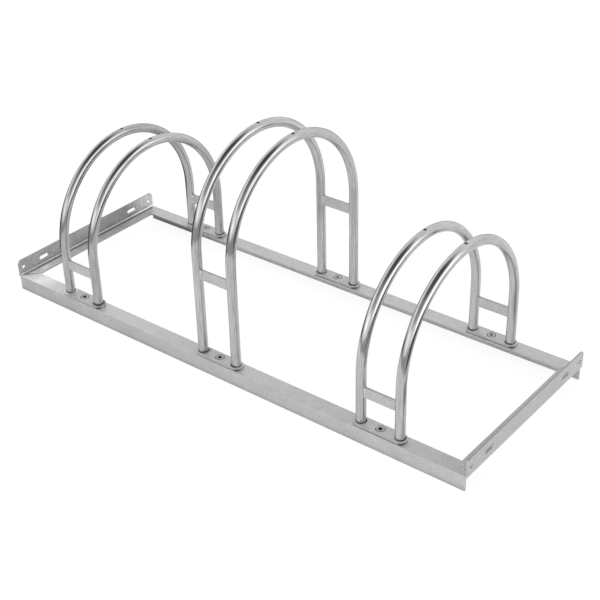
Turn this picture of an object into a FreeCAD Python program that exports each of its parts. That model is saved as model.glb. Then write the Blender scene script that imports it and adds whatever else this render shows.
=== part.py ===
import FreeCAD
import Part

import math
import os

# Floor bike rack with three wheel places: a base frame of four steel angles, and on it three
# holders of two bent tubes each, low - high - low. Sizes are in millimetres.
#
# Frame: origin on the floor under the middle of the rack, +X along the rails to the right,
# +Y to the rear, +Z up.

# ---- Base frame ----
HOLDER_PITCH = 350.0            # from one wheel place to the next
FRAME_DEPTH = 380.0             # over the outer faces of the two rails
ANGLE_THICKNESS = 3.0           # of all four angles
ROOT_RADIUS = 3.0               # inside corner of an angle
HEEL_RADIUS = 1.0               # outside corner of an angle
RAIL_HEIGHT = 30.0              # standing leg of a rail, from the floor to the top face
RAIL_FLANGE = 30.0              # lying leg of a rail
END_FLANGE = 28.0               # lying leg of an end angle
END_UPSTAND = 35.0              # standing leg of an end angle
UPSTAND_CORNER_RADIUS = 8.0

# ---- Holes for linking racks in a row, in the upstands ----
LINK_HOLE_DIAMETER = 8.0
LINK_HOLE_INSET = 12.0          # from the end of the upstand to the hole's centre
LINK_SLOT_LENGTH = 24.0
LINK_SLOT_WIDTH = 9.0
LINK_SLOT_INSET = 65.0          # from the end of the upstand to the slot's centre

# ---- Wheel holders ----
TUBE_DIAMETER = 18.0
TUBE_WALL = 1.5
TYRE_GAP = 60.0                 # clear width between the two hoops of a holder
LOW_LEG = 101.0                 # straight tube below the bend of a low hoop
HIGH_LEG = 201.0                # straight tube below the bend of a high hoop
VENT_DIAMETER = 5.0             # zinc vent hole on top of a hoop
CROSSBAR_HEIGHT = 20.0
CROSSBAR_THICKNESS = 5.0
CROSSBAR_EDGE_RADIUS = 0.8
CROSSBAR_DROP = 36.0            # from the start of the bend down to the bar's middle
PLATE_THICKNESS = 5.0
PLATE_MARGIN = 3.5              # material round a tube hole
PLATE_EDGE_RADIUS = 0.6         # rounded upper rim
TUBE_HOLE_CLEARANCE = 0.5       # all round a tube in its foot plate

# ---- Screws, washers and nuts that hold the foot plates to the rails ----
SCREW_DIAMETER = 8.0
SCREW_LENGTH = 20.0             # with the countersunk head
SCREW_HEAD_DIAMETER = 16.0
SCREW_HEAD_RIM = 0.4            # cylindrical rim above the head's cone
SCREW_TIP_CHAMFER = 0.8
SOCKET_WIDTH = 5.0              # across the flats of the hexagon socket
SOCKET_DEPTH = 3.0
COUNTERSINK_DIAMETER = 18.0
HEAD_SEAT_CLEARANCE = 0.15      # all round the head's cone in its countersink
SCREW_HOLE_CLEARANCE = 0.5      # all round the shank
WASHER_DIAMETER = 16.0
WASHER_THICKNESS = 1.6
WASHER_HOLE_CLEARANCE = 0.2     # all round the shank
WASHER_ROOM = 1.0               # between a washer and the rail's inside corner
NUT_WIDTH = 13.0                # across the flats
NUT_HEIGHT = 6.5
NUT_CHAMFER = 0.8
THREAD_CLEARANCE = 0.1          # all round the shank in its nut

# ---- Derived places ----
HOLDERS = (("left", -1, LOW_LEG), ("middle", 0, HIGH_LEG), ("right", 1, LOW_LEG))
PLACES = len(HOLDERS)

# Racks that are linked in a row keep the pitch, so a frame is as long as its places.
frame_length = PLACES * HOLDER_PITCH
half_length = frame_length / 2
half_depth = FRAME_DEPTH / 2
rail_half_length = half_length - ANGLE_THICKNESS
rail_flange_edge = half_depth - RAIL_FLANGE
end_flange_edge = half_length - END_FLANGE
end_angle_base = RAIL_HEIGHT - ANGLE_THICKNESS
upstand_top = end_angle_base + END_UPSTAND

# The feet stand as close to a rail's standing leg as the washers below it allow.
foot_inset = ANGLE_THICKNESS + ROOT_RADIUS + WASHER_DIAMETER / 2 + WASHER_ROOM
foot_y = half_depth - foot_inset
tube_radius = TUBE_DIAMETER / 2
hoop_offset = (TYRE_GAP + TUBE_DIAMETER) / 2
plate_width = TUBE_DIAMETER + 2 * TUBE_HOLE_CLEARANCE + 2 * PLATE_MARGIN
plate_length = 2 * hoop_offset + plate_width
plate_top = RAIL_HEIGHT + PLATE_THICKNESS

# The countersink is wider than the head, so the head sits below the plate's face.
seat_depth = (COUNTERSINK_DIAMETER - SCREW_HEAD_DIAMETER) / 2 - HEAD_SEAT_CLEARANCE
head_recess = seat_depth - SCREW_HEAD_RIM
head_top = plate_top - head_recess
shank_hole_radius = SCREW_DIAMETER / 2 + SCREW_HOLE_CLEARANCE

CUT_MARGIN = 1.0                # how far a cutter runs past the face that it opens

X_AXIS = FreeCAD.Vector(1, 0, 0)
Y_AXIS = FreeCAD.Vector(0, 1, 0)
Z_AXIS = FreeCAD.Vector(0, 0, 1)


def vector(x, y, z):
    return FreeCAD.Vector(x, y, z)


def rounded_outline(corners):
    """Closed wire through corners of (point, radius), with tangent arcs at the rounded ones."""
    edges = []
    ends = []
    count = len(corners)
    for index, (corner, radius) in enumerate(corners):
        before = (corners[index - 1][0] - corner).normalize()
        after = (corners[(index + 1) % count][0] - corner).normalize()
        if radius == 0:
            ends.append((corner, corner))
            continue
        half_angle = before.getAngle(after) / 2
        start = corner + before * (radius / math.tan(half_angle))
        finish = corner + after * (radius / math.tan(half_angle))
        bisector = (before + after).normalize()
        middle = corner + bisector * (radius / math.sin(half_angle) - radius)
        edges.append(Part.Arc(start, middle, finish).toShape())
        ends.append((start, finish))
    for index in range(count):
        start = ends[index][1]
        finish = ends[(index + 1) % count][0]
        edges.append(Part.LineSegment(start, finish).toShape())
    return Part.Wire(Part.__sortEdges__(edges))


def prism(points, direction):
    """Solid swept from a flat polygon along a direction."""
    outline = Part.makePolygon(points + [points[0]])
    return Part.Face(outline).extrude(direction)


def oblong(length, width, height):
    """Solid with two straight sides and two round ends, lying along X on the XY plane."""
    radius = width / 2
    reach = length / 2 - radius
    body = Part.makeBox(2 * reach, width, height, vector(-reach, -radius, 0))
    for side in (-1, 1):
        body = body.fuse(Part.makeCylinder(radius, height, vector(side * reach, 0, 0)))
    return body.removeSplitter()


def hexagon(width, height, base):
    """Hexagonal prism of a width across the flats, standing on its base point."""
    corner_radius = width / math.sqrt(3)
    points = []
    for index in range(6):
        angle = math.radians(60 * index)
        spoke = vector(corner_radius * math.cos(angle), corner_radius * math.sin(angle), 0)
        points.append(base + spoke)
    return prism(points, Z_AXIS * height)


def mirrored(shape, normal):
    return shape.mirror(vector(0, 0, 0), normal)


def edges_where(shape, test):
    """Edges whose every end point passes a test."""
    return [edge for edge in shape.Edges if all(test(vertex.Point) for vertex in edge.Vertexes)]


def near(value, target):
    return abs(value - target) < 1e-6


# ---- Base frame ----

def mitre_wedge(side):
    """Corner of the flanges that an end angle takes over from the front rail.

    The mitre runs from the inner corner of the two flanges to the outer one, where the rail
    stops against the upstand.
    """
    inner_corner = vector(side * end_flange_edge, -rail_flange_edge, end_angle_base)
    outer_corner = vector(side * rail_half_length, -half_depth, end_angle_base)
    end_side = vector(side * rail_half_length, -rail_flange_edge, end_angle_base)
    return prism([inner_corner, outer_corner, end_side], Z_AXIS * END_UPSTAND)


def front_rail():
    outer = -half_depth
    inner = -half_depth + ANGLE_THICKNESS
    section = rounded_outline([
        (vector(-rail_half_length, outer, 0), 0),
        (vector(-rail_half_length, outer, RAIL_HEIGHT), HEEL_RADIUS),
        (vector(-rail_half_length, -rail_flange_edge, RAIL_HEIGHT), 0),
        (vector(-rail_half_length, -rail_flange_edge, end_angle_base), 0),
        (vector(-rail_half_length, inner, end_angle_base), ROOT_RADIUS),
        (vector(-rail_half_length, inner, 0), 0),
    ])
    rail = Part.Face(section).extrude(X_AXIS * (2 * rail_half_length))
    for side in (-1, 1):
        rail = rail.cut(mitre_wedge(side))
    for _, place, _ in HOLDERS:
        rail = rail.cut(screw_hole(place * HOLDER_PITCH, -foot_y))
    return rail


def right_end_angle():
    outer = half_length
    inner = rail_half_length
    section = rounded_outline([
        (vector(outer, -half_depth, end_angle_base), HEEL_RADIUS),
        (vector(outer, -half_depth, upstand_top), 0),
        (vector(inner, -half_depth, upstand_top), 0),
        (vector(inner, -half_depth, RAIL_HEIGHT), ROOT_RADIUS),
        (vector(end_flange_edge, -half_depth, RAIL_HEIGHT), 0),
        (vector(end_flange_edge, -half_depth, end_angle_base), 0),
    ])
    angle = Part.Face(section).extrude(Y_AXIS * FRAME_DEPTH)
    top_edges = edges_where(angle, lambda point: near(point.z, upstand_top))
    top_corners = [edge for edge in top_edges if near(edge.Length, ANGLE_THICKNESS)]
    angle = angle.makeFillet(UPSTAND_CORNER_RADIUS, top_corners)
    angle = angle.cut(flange_beyond_mitre())
    angle = angle.cut(mirrored(flange_beyond_mitre(), Y_AXIS))
    for cutter in link_hole_cutters():
        angle = angle.cut(cutter)
    return angle


def flange_beyond_mitre():
    """Front corner of the right end angle's flange and inside corner, which the rail fills."""
    points = [
        vector(end_flange_edge, -half_depth, end_angle_base),
        vector(rail_half_length, -half_depth, end_angle_base),
        vector(end_flange_edge, -rail_flange_edge, end_angle_base),
    ]
    return prism(points, Z_AXIS * END_UPSTAND)


def link_hole_cutters():
    """Two round holes and two slots through the right upstand, at its mid height."""
    height = end_angle_base + END_UPSTAND / 2
    depth = ANGLE_THICKNESS + 2 * CUT_MARGIN
    start = rail_half_length - CUT_MARGIN
    slot = oblong(LINK_SLOT_LENGTH, LINK_SLOT_WIDTH, depth)
    slot.rotate(vector(0, 0, 0), Z_AXIS, 90)
    slot.rotate(vector(0, 0, 0), Y_AXIS, 90)
    cutters = []
    for side in (-1, 1):
        hole_centre = vector(start, side * (half_depth - LINK_HOLE_INSET), height)
        cutters.append(Part.makeCylinder(LINK_HOLE_DIAMETER / 2, depth, hole_centre, X_AXIS))
        slot_y = side * (half_depth - LINK_SLOT_INSET)
        cutters.append(slot.translated(vector(start, slot_y, height)))
    return cutters


# ---- Wheel holders ----

def hoop(x, leg):
    """Tube bent to half a circle between two straight legs that stand on the rails."""
    bend_height = RAIL_HEIGHT + leg
    foot = vector(x, -foot_y, RAIL_HEIGHT)
    outer = Part.Face(Part.Wire(Part.makeCircle(tube_radius, foot, Z_AXIS)))
    inner = Part.Face(Part.Wire(Part.makeCircle(tube_radius - TUBE_WALL, foot, Z_AXIS)))
    ring = outer.cut(inner)
    front_leg = ring.extrude(Z_AXIS * leg)
    rear_leg = front_leg.translated(Y_AXIS * (2 * foot_y))
    raised_ring = ring.translated(Z_AXIS * leg)
    arch = raised_ring.revolve(vector(x, 0, bend_height), X_AXIS, -180)
    tube = front_leg.fuse([arch, rear_leg]).removeSplitter()
    vent = Part.makeCylinder(VENT_DIAMETER / 2, tube_radius + CUT_MARGIN, vector(x, 0, bend_height + foot_y))
    return tube.cut(vent)


def crossbar(x, leg):
    """Front flat bar between the legs of two hoops, its ends hollowed to fit the tubes."""
    middle_height = RAIL_HEIGHT + leg - CROSSBAR_DROP
    corner = vector(x - hoop_offset, -foot_y - CROSSBAR_THICKNESS / 2, middle_height - CROSSBAR_HEIGHT / 2)
    bar = Part.makeBox(2 * hoop_offset, CROSSBAR_THICKNESS, CROSSBAR_HEIGHT, corner)
    long_edges = [edge for edge in bar.Edges if near(edge.Length, 2 * hoop_offset)]
    bar = bar.makeFillet(CROSSBAR_EDGE_RADIUS, long_edges)
    for side in (-1, 1):
        tube_foot = vector(x + side * hoop_offset, -foot_y, RAIL_HEIGHT)
        bar = bar.cut(Part.makeCylinder(tube_radius, leg, tube_foot))
    return bar


def foot_plate(x):
    """Front oblong plate with a hole for each tube and a countersunk screw hole between them."""
    plate = oblong(plate_length, plate_width, PLATE_THICKNESS)
    plate.translate(vector(x, -foot_y, RAIL_HEIGHT))
    upper_rim = edges_where(plate, lambda point: near(point.z, plate_top))
    plate = plate.makeFillet(PLATE_EDGE_RADIUS, upper_rim)
    hole_radius = tube_radius + TUBE_HOLE_CLEARANCE
    for side in (-1, 1):
        tube_foot = vector(x + side * hoop_offset, -foot_y, RAIL_HEIGHT)
        plate = plate.cut(Part.makeCylinder(hole_radius, PLATE_THICKNESS, tube_foot))
    return plate.cut(screw_hole(x, -foot_y))


# ---- Screws, washers and nuts ----

def screw_hole(x, y):
    """Shank hole through plate and rail, with a 90 degree countersink from the plate's face."""
    bottom = end_angle_base - CUT_MARGIN
    shank = Part.makeCylinder(shank_hole_radius, plate_top - bottom, vector(x, y, bottom))
    countersink_radius = COUNTERSINK_DIAMETER / 2
    cone_depth = countersink_radius - shank_hole_radius
    cone_foot = vector(x, y, plate_top - cone_depth)
    cone = Part.makeCone(shank_hole_radius, countersink_radius, cone_depth, cone_foot)
    return shank.fuse(cone)


def screw(x, y):
    """Countersunk screw with a hexagon socket, its head just below the plate's face."""
    head_radius = SCREW_HEAD_DIAMETER / 2
    shank_radius = SCREW_DIAMETER / 2
    rim_bottom = head_top - SCREW_HEAD_RIM
    cone_bottom = rim_bottom - (head_radius - shank_radius)
    tip = head_top - SCREW_LENGTH
    profile = [
        vector(0, 0, head_top),
        vector(head_radius, 0, head_top),
        vector(head_radius, 0, rim_bottom),
        vector(shank_radius, 0, cone_bottom),
        vector(shank_radius, 0, tip + SCREW_TIP_CHAMFER),
        vector(shank_radius - SCREW_TIP_CHAMFER, 0, tip),
        vector(0, 0, tip),
    ]
    outline = Part.makePolygon(profile + [profile[0]])
    body = Part.Face(outline).revolve(vector(0, 0, 0), Z_AXIS, 360)
    socket_floor = head_top - SOCKET_DEPTH
    socket = hexagon(SOCKET_WIDTH, SOCKET_DEPTH + CUT_MARGIN, vector(0, 0, socket_floor))
    return body.cut(socket).translated(vector(x, y, 0))


def washer(x, y):
    base = vector(x, y, end_angle_base - WASHER_THICKNESS)
    disc = Part.makeCylinder(WASHER_DIAMETER / 2, WASHER_THICKNESS, base)
    hole = Part.makeCylinder(SCREW_DIAMETER / 2 + WASHER_HOLE_CLEARANCE, WASHER_THICKNESS, base)
    return disc.cut(hole)


def nut(x, y):
    """Hexagon nut with both rims chamfered, under its washer."""
    base = vector(x, y, end_angle_base - WASHER_THICKNESS - NUT_HEIGHT)
    flats = hexagon(NUT_WIDTH, NUT_HEIGHT, base)
    corner_radius = NUT_WIDTH / math.sqrt(3)
    rim_radius = corner_radius - NUT_CHAMFER
    rim_rise = NUT_CHAMFER * math.tan(math.radians(30))
    lower_rim = Part.makeCone(rim_radius, corner_radius, rim_rise, base)
    barrel = Part.makeCylinder(corner_radius, NUT_HEIGHT - 2 * rim_rise, base + Z_AXIS * rim_rise)
    upper_rim = Part.makeCone(corner_radius, rim_radius, rim_rise, base + Z_AXIS * (NUT_HEIGHT - rim_rise))
    turned = lower_rim.fuse([barrel, upper_rim])
    thread = Part.makeCylinder(SCREW_DIAMETER / 2 + THREAD_CLEARANCE, NUT_HEIGHT, base)
    return flats.common(turned).cut(thread)


def at_every_foot(make):
    """One solid for each foot plate: a screw, a washer or a nut."""
    solids = []
    for _, place, _ in HOLDERS:
        for y in (-foot_y, foot_y):
            solids.append(make(place * HOLDER_PITCH, y))
    return Part.makeCompound(solids)


# ---- Assembly ----

def holder_nodes(name, place, leg):
    x = place * HOLDER_PITCH
    front_bar = crossbar(x, leg)
    front_plate = foot_plate(x)
    return {
        name + "_holder_left_hoop": hoop(x - hoop_offset, leg),
        name + "_holder_right_hoop": hoop(x + hoop_offset, leg),
        name + "_holder_front_crossbar": front_bar,
        name + "_holder_rear_crossbar": mirrored(front_bar, Y_AXIS),
        name + "_holder_front_foot_plate": front_plate,
        name + "_holder_rear_foot_plate": mirrored(front_plate, Y_AXIS),
    }


def all_nodes():
    front = front_rail()
    right = right_end_angle()
    nodes = {
        "front_rail": front,
        "rear_rail": mirrored(front, Y_AXIS),
        "left_end_angle": mirrored(right, X_AXIS),
        "right_end_angle": right,
    }
    for name, place, leg in HOLDERS:
        nodes.update(holder_nodes(name, place, leg))
    nodes["foot_screws"] = at_every_foot(screw)
    nodes["foot_washers"] = at_every_foot(washer)
    nodes["foot_nuts"] = at_every_foot(nut)
    return nodes


os.makedirs("parts", exist_ok=True)
for node_name, node_shape in all_nodes().items():
    node_shape.exportStep("parts/" + node_name + ".step")
    print(node_name, "solids", len(node_shape.Solids), "valid", node_shape.isValid(),
          "volume", round(node_shape.Volume, 1))
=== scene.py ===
"""Looks of the floor bike rack: galvanised steel finishes, weld beads, and a pale studio.

Lengths are in metres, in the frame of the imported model: the origin is on the floor under the
middle of the rack, +X runs along the rails to the right, +Y to the rear and +Z up. A light,
shade or brightness is linear, where 1 is white, and a brightness factor scales it.
"""

import logging
import math
import random
from abc import ABC, abstractmethod
from collections.abc import Iterable
from dataclasses import dataclass
from enum import Enum
from typing import ClassVar

import bmesh
import bpy
from mathutils import Matrix, Vector


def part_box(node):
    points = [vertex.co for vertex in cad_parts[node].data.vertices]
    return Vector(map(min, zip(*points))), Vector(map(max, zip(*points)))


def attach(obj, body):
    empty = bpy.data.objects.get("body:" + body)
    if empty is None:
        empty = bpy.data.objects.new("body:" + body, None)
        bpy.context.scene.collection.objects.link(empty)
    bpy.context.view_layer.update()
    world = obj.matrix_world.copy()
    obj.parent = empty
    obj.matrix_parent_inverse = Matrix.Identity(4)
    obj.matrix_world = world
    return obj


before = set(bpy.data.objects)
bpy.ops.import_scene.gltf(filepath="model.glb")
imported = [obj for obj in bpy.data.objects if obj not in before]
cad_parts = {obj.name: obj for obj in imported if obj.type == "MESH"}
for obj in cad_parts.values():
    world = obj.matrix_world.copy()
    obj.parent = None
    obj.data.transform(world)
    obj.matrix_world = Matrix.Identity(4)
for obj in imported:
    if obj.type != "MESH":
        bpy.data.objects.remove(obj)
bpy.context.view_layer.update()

ROOT_BODY = "root"
RANDOM_SEED = 8
UP = Vector((0, 0, 1))

log = logging.getLogger("bike_rack")

Span = tuple[float, float]
Triple = tuple[float, float, float]
Socket = bpy.types.NodeSocket


# ---------------------------------------------------------------- named options

class Bay(Enum):
    """The rack's wheel places."""

    LEFT = "left"
    MIDDLE = "middle"
    RIGHT = "right"


class Side(Enum):
    """The two hoops of a wheel holder."""

    LEFT = "left"
    RIGHT = "right"


class Depth(Enum):
    """The front and the rear of the rack."""

    FRONT = "front"
    REAR = "rear"


class Slot(Enum):
    """Names of the record's material slots; nothing in the script uses them."""

    ANGLE = "galvanised_angle"
    TUBE = "galvanised_tube"
    FASTENER = "zinc_fastener"


class Spread(Enum):
    """How the marks of a finish lie on the metal, as factors along X, Y and Z."""

    EVEN = (1.0, 1.0, 1.0)
    ALONG_TUBE = (1.0, 1.0, 0.07)


class MixKind(Enum):
    """What a Mix node mixes: its type, and the places of its two inputs and of its output."""

    NUMBERS = ("FLOAT", 2, 3, 0)
    COLOURS = ("RGBA", 6, 7, 2)


# ---------------------------------------------------------------- node trees

def grey(value: float) -> Triple:
    """Return a neutral colour of a brightness."""
    return (value, value, value)


def around(middle: float, blur: float) -> Span:
    """Return the span that reaches as far as a blur to both sides of a value."""
    return (middle - blur, middle + blur)


class NodeTree:
    """A shader node tree that is filled node by node."""

    def __init__(self, tree: bpy.types.NodeTree) -> None:
        """Take the tree of a material or of the world, and empty it."""
        self.tree = tree
        tree.nodes.clear()

    def add(self, kind: str, settings: dict[str, object] | None = None,
            **values: object) -> bpy.types.Node:
        """Add a node.

        Args:
            kind: The node's type name, without its ShaderNode start.
            settings: Properties of the node itself.
            **values: Inputs by name, with _ for a space: a plain value, or an output to link.

        Returns:
            The new node.
        """
        node = self.tree.nodes.new("ShaderNode" + kind)
        for name, value in (settings or {}).items():
            setattr(node, name, value)
        for name, value in values.items():
            self.feed(node.inputs[name.replace("_", " ")], value)
        return node

    def feed(self, socket: Socket, value: object) -> None:
        """Link an output to a socket, or set its value.

        Args:
            socket: The input.
            value: An output socket, or a number, colour or vector.
        """
        if isinstance(value, Socket):
            self.tree.links.new(value, socket)
            return
        if socket.type == "RGBA":
            value = (*value[:3], 1.0)
        socket.default_value = value

    def feed_all(self, node: bpy.types.Node, values: Iterable[object]) -> None:
        """Feed a node's inputs in their order."""
        for socket, value in zip(node.inputs, values):
            self.feed(socket, value)

    def result(self, kind: str, **values: object) -> Socket:
        """Add a node and return its first output."""
        return self.add(kind, **values).outputs[0]

    def object_place(self) -> Socket:
        """Return the coordinates of the shaded point in the piece's own frame."""
        return self.add("TexCoord").outputs["Object"]

    def split(self, vector: Socket) -> list[Socket]:
        """Return the X, Y and Z of a vector."""
        return list(self.add("SeparateXYZ", Vector=vector).outputs)

    def facing(self) -> list[Socket]:
        """Return the X, Y and Z of the direction in which the surface faces."""
        return self.split(self.add("NewGeometry").outputs["Normal"])

    def math(self, operation: str, *values: object) -> Socket:
        """Add a Math node.

        Args:
            operation: The operation's name.
            *values: Its inputs in order.

        Returns:
            The node's output.
        """
        node = self.add("Math", {"operation": operation})
        self.feed_all(node, values)
        return node.outputs[0]

    def product(self, first: object, second: object) -> Socket:
        """Return the product of two numbers."""
        return self.math("MULTIPLY", first, second)

    def vector_math(self, operation: str, *vectors: object) -> Socket:
        """Add a Vector Math node.

        Args:
            operation: LENGTH, DOT_PRODUCT or NORMALIZE.
            *vectors: Its inputs in order.

        Returns:
            The output that the operation fills.
        """
        node = self.add("VectorMath", {"operation": operation})
        self.feed_all(node, vectors)
        return node.outputs["Vector" if operation == "NORMALIZE" else "Value"]

    def length(self, first: Socket, second: Socket) -> Socket:
        """Return the length of a pair of coordinates."""
        return self.vector_math("LENGTH", self.result("CombineXYZ", X=first, Y=second))

    def noise(self, place: Socket, scale: float, detail: float = 2.0,
              roughness: float = 0.5) -> Socket:
        """Add a Noise Texture.

        Args:
            place: The coordinates.
            scale: Blobs per metre.
            detail: Octaves.
            roughness: Weight of the finer octaves.

        Returns:
            The noise, about 0 to 1.
        """
        node = self.add("TexNoise", Vector=place, Scale=scale, Detail=detail, Roughness=roughness)
        return node.outputs["Fac"]

    def remap(self, value: Socket, source: Span, target: Span = (0.0, 1.0),
              smooth: bool = False) -> Socket:
        """Add a clamped Map Range node.

        Args:
            value: The number that is mapped.
            source: Where the source range starts and ends.
            target: The results at its start and its end.
            smooth: Ease in and out instead of a straight line.

        Returns:
            The mapped number.
        """
        kind = "SMOOTHSTEP" if smooth else "LINEAR"
        node = self.add("MapRange", {"interpolation_type": kind, "clamp": True})
        self.feed_all(node, (value, *source, *target))
        return node.outputs["Result"]

    def ramp(self, value: Socket, stops: Iterable[Span]) -> Socket:
        """Add a Color Ramp of greys.

        Args:
            value: The number that picks the grey.
            stops: Pairs of a place from 0 to 1 and a brightness.

        Returns:
            The colour.
        """
        node = self.add("ValToRGB", Fac=value)
        node.color_ramp.interpolation = "EASE"
        elements = node.color_ramp.elements
        elements.remove(elements[1])
        (position, level), *others = stops
        elements[0].position = position
        elements[0].color = (*grey(level), 1.0)
        for position, level in others:
            elements.new(position).color = (*grey(level), 1.0)
        return node.outputs["Color"]

    def mix(self, kind: MixKind, factor: object, first: object, second: object,
            blend: str = "MIX") -> Socket:
        """Add a Mix node.

        Args:
            kind: What is mixed.
            factor: How much of the second input.
            first: The first input.
            second: The second input.
            blend: The blend mode, which only colours use.

        Returns:
            The mixed value.
        """
        data_type, first_place, second_place, output_place = kind.value
        node = self.add("Mix", {"data_type": data_type, "blend_type": blend})
        self.feed(node.inputs[0], factor)
        self.feed(node.inputs[first_place], first)
        self.feed(node.inputs[second_place], second)
        return node.outputs[output_place]

    def mix_shaders(self, factor: Socket, first: Socket, second: Socket) -> Socket:
        """Add a Mix Shader node.

        Args:
            factor: How much of the second shader.
            first: The first shader.
            second: The second shader.

        Returns:
            The mixed shader.
        """
        node = self.add("MixShader")
        self.feed_all(node, (factor, first, second))
        return node.outputs[0]


# ---------------------------------------------------------------- finishes

@dataclass(frozen=True)
class Finish(ABC):
    """A material that is built once and then shared.

    Attributes:
        name: The material's name.
    """

    name: str

    @abstractmethod
    def surface(self, nodes: NodeTree) -> Socket:
        """Add the nodes of the material and return its shader."""

    def material(self) -> bpy.types.Material:
        """Return the material, and build it the first time.

        Returns:
            The material.
        """
        material = bpy.data.materials.get(self.name)
        if material is None:
            material = bpy.data.materials.new(self.name)
            material.use_nodes = True
            nodes = NodeTree(material.node_tree)
            nodes.add("OutputMaterial", Surface=self.surface(nodes))
        return material


@dataclass(frozen=True)
class ZincFinish(Finish):
    """Zinc on steel: mottled, a little uneven in gloss, with a fine skin.

    Attributes:
        light: Brightness of the clean zinc.
        dark: Brightness of the dull patches.
        roughness: Lowest and highest roughness.
        cloud: Blobs per metre of the large patches.
        grain: Blobs per metre of the fine mottling.
        grain_depth: How much the fine mottling darkens.
        skin: Height of the fine unevenness.
        spread: How the marks lie.
        metal: How much of it mirrors like metal, where the rest is matt.
    """

    CLOUD_STOPS: ClassVar[Triple] = (0.28, 0.50, 0.70)
    GRAIN_RANGE: ClassVar[Span] = (0.34, 0.62)
    GLOSS_RANGE: ClassVar[Span] = (0.36, 0.64)
    STREAK_STRETCH: ClassVar[Triple] = (1.0, 1.0, 0.25)
    STREAKS_PER_GRAIN: ClassVar[float] = 0.45
    SKIN_STRENGTH: ClassVar[float] = 0.35

    light: float
    dark: float
    roughness: Span
    cloud: float
    grain: float
    grain_depth: float
    skin: float = 0.00006
    spread: Spread = Spread.EVEN
    metal: float = 0.65

    @abstractmethod
    def shade(self, nodes: NodeTree) -> Socket:
        """Return the brightness factor by place and by facing, with which most finishes paint
        light and shade.
        """

    def place(self, nodes: NodeTree) -> Socket:
        """Return the coordinates that the marks follow."""
        return nodes.object_place()

    def worn(self, nodes: NodeTree, rough: Socket) -> Socket:
        """Return the roughness after wear, which a flat piece hasn't had."""
        return rough

    def surface(self, nodes: NodeTree) -> Socket:
        """Add the mottled colour, the uneven gloss and the skin.

        Args:
            nodes: The material's node tree.

        Returns:
            The shader.
        """
        drawn = nodes.result("Mapping", Vector=self.place(nodes), Scale=self.spread.value)
        clouds = nodes.noise(drawn, self.cloud, detail=4.0, roughness=0.6)
        grain = nodes.noise(drawn, self.grain, detail=3.0, roughness=0.65)
        streaked = nodes.result("Mapping", Vector=drawn, Scale=self.STREAK_STRETCH)
        streaks = nodes.noise(streaked, self.grain * self.STREAKS_PER_GRAIN)
        levels = (self.dark, (self.dark + self.light) / 2, self.light)
        base = nodes.ramp(clouds, zip(self.CLOUD_STOPS, levels))
        mottling = (1.0 - self.grain_depth, 1.0 + self.grain_depth / 2)
        # The fine mottling, times shade(), which holds most finishes' painted light and shade.
        factor = nodes.product(nodes.remap(grain, self.GRAIN_RANGE, mottling), self.shade(nodes))
        fine = nodes.result("CombineColor", Red=factor, Green=factor, Blue=factor)
        colour = nodes.mix(MixKind.COLOURS, 1.0, base, fine, "MULTIPLY")
        uneven = nodes.mix(MixKind.NUMBERS, 0.5, clouds, streaks)
        rough = self.worn(nodes, nodes.remap(uneven, self.GLOSS_RANGE, self.roughness))
        bump = nodes.result("Bump", Height=grain, Strength=self.SKIN_STRENGTH, Distance=self.skin)
        return nodes.result("BsdfPrincipled", Base_Color=colour, Metallic=self.metal,
                            Roughness=rough, Normal=bump)


@dataclass(frozen=True)
class DarkTopFinish(ZincFinish):
    """Zinc on a flat bar, darker on its upward faces.

    Attributes:
        edge_light: Brightness factor of the upward faces.
        upward: Z of a face's direction where it begins to be darker, and where it fully is.
    """

    edge_light: float = 0.72
    upward: Span = (0.6, 0.8)

    def shade(self, nodes: NodeTree) -> Socket:
        """Return the brightness factor, less on the upward faces."""
        # Darkens the bar's upward faces.
        return nodes.remap(nodes.facing()[2], self.upward, (1.0, self.edge_light))


@dataclass(frozen=True)
class EndAngleFinish(ZincFinish):
    """Zinc on an end angle, with painted light: painted shade in the root beside its upstand, a
    painted highlight on the rounding, a painted sheen fading along its flange, and a brighter
    rear end of its upstand.

    Attributes:
        root: Distance from the middle of the rack at which the painted shade of the root begins.
        root_blur: Half of the width over which it begins.
        root_shade_light: Brightness factor of the root.
        fillet_highlight: Brightness factor of the rounding between the two faces.
        fillet: Z of a face's direction where it is upstand, and where it is rounding.
        flange_sheen: Brightness factor of the flange at its front and its rear end.
        flange: Z of a face's direction where it is rounding, and where it is flange.
        reach: Distance of those ends from the middle of the rack.
        rear_light: Brightness factor at the rear end of the upstand.
        rear: How far to the rear the upstand begins to turn to that, and has turned.
    """

    root: float = 0.514
    root_blur: float = 0.002
    root_shade_light: float = 0.40
    fillet_highlight: float = 1.35
    fillet: Span = (0.10, 0.30)
    flange_sheen: Span = (2.4, 1.15)
    flange: Span = (0.75, 0.95)
    reach: float = 0.19
    rear_light: float = 1.7
    rear: Span = (0.11, 0.16)

    def shade(self, nodes: NodeTree) -> Socket:
        """Return the painted light's brightness factor, by place on the flange and on the
        upstand.

        Args:
            nodes: The material's node tree.

        Returns:
            The factor.
        """
        x, y, _ = nodes.split(nodes.object_place())
        facing_up = nodes.facing()[2]
        # Painted shade in the root, a painted sheen along the flange from front to rear, a
        # painted highlight on the rounding, and a brighter rear end of the upstand.
        root_shade = nodes.remap(nodes.math("ABSOLUTE", x), around(self.root, self.root_blur),
                              (1.0, self.root_shade_light), smooth=True)
        along = nodes.remap(y, around(0.0, self.reach), self.flange_sheen)
        rounding = nodes.remap(facing_up, self.fillet, (1.0, self.fillet_highlight))
        rearward = nodes.remap(y, self.rear, (1.0, self.rear_light), smooth=True)
        return nodes.mix(MixKind.NUMBERS, nodes.remap(facing_up, self.flange),
                         nodes.product(rounding, rearward), nodes.product(root_shade, along))


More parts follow.
